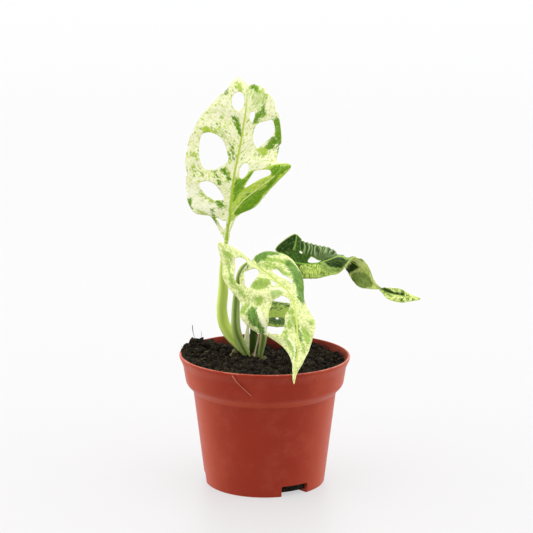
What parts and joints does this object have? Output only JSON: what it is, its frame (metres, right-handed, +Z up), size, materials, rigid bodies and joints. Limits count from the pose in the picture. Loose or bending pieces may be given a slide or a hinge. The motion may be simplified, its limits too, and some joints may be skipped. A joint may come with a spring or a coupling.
{
  "type": "potted monstera",
  "caption": "Young variegated monstera with holed, freckled leaves on upright petioles, growing from a creeping stem in a round plastic nursery pot of soil.",
  "frame": {"origin": "on the pot's axis, at the centre of the pot's base, on the surface that it stands on", "axes": "+Z up along the pot's axis, +X to the right and +Y away as seen from the front, where the front leaf hangs over the lip"},
  "size_m": [0.1682, 0.1274, 0.2832],
  "materials": {
    "terracotta": "satin",
    "soil": "matte",
    "stem": "matte",
    "petiole": "satin",
    "cream_leaf": "satin",
    "green_leaf": "satin",
    "dry_sheath": "matte",
    "straw": "matte"
  },
  "bodies": {
    "root": {"pot": "terracotta", "soil": "soil", "stem": "stem", "petiole_tall": "petiole", "petiole_front": "petiole", "petiole_side": "petiole", "petiole_small": "petiole", "blade_tall": "cream_leaf", "blade_front": "cream_leaf", "blade_side": "green_leaf", "blade_small": "cream_leaf", "bud_sheath": "dry_sheath", "dry_strand": "straw", "straw_fibre": "straw"}
  },
  "joints": []
}
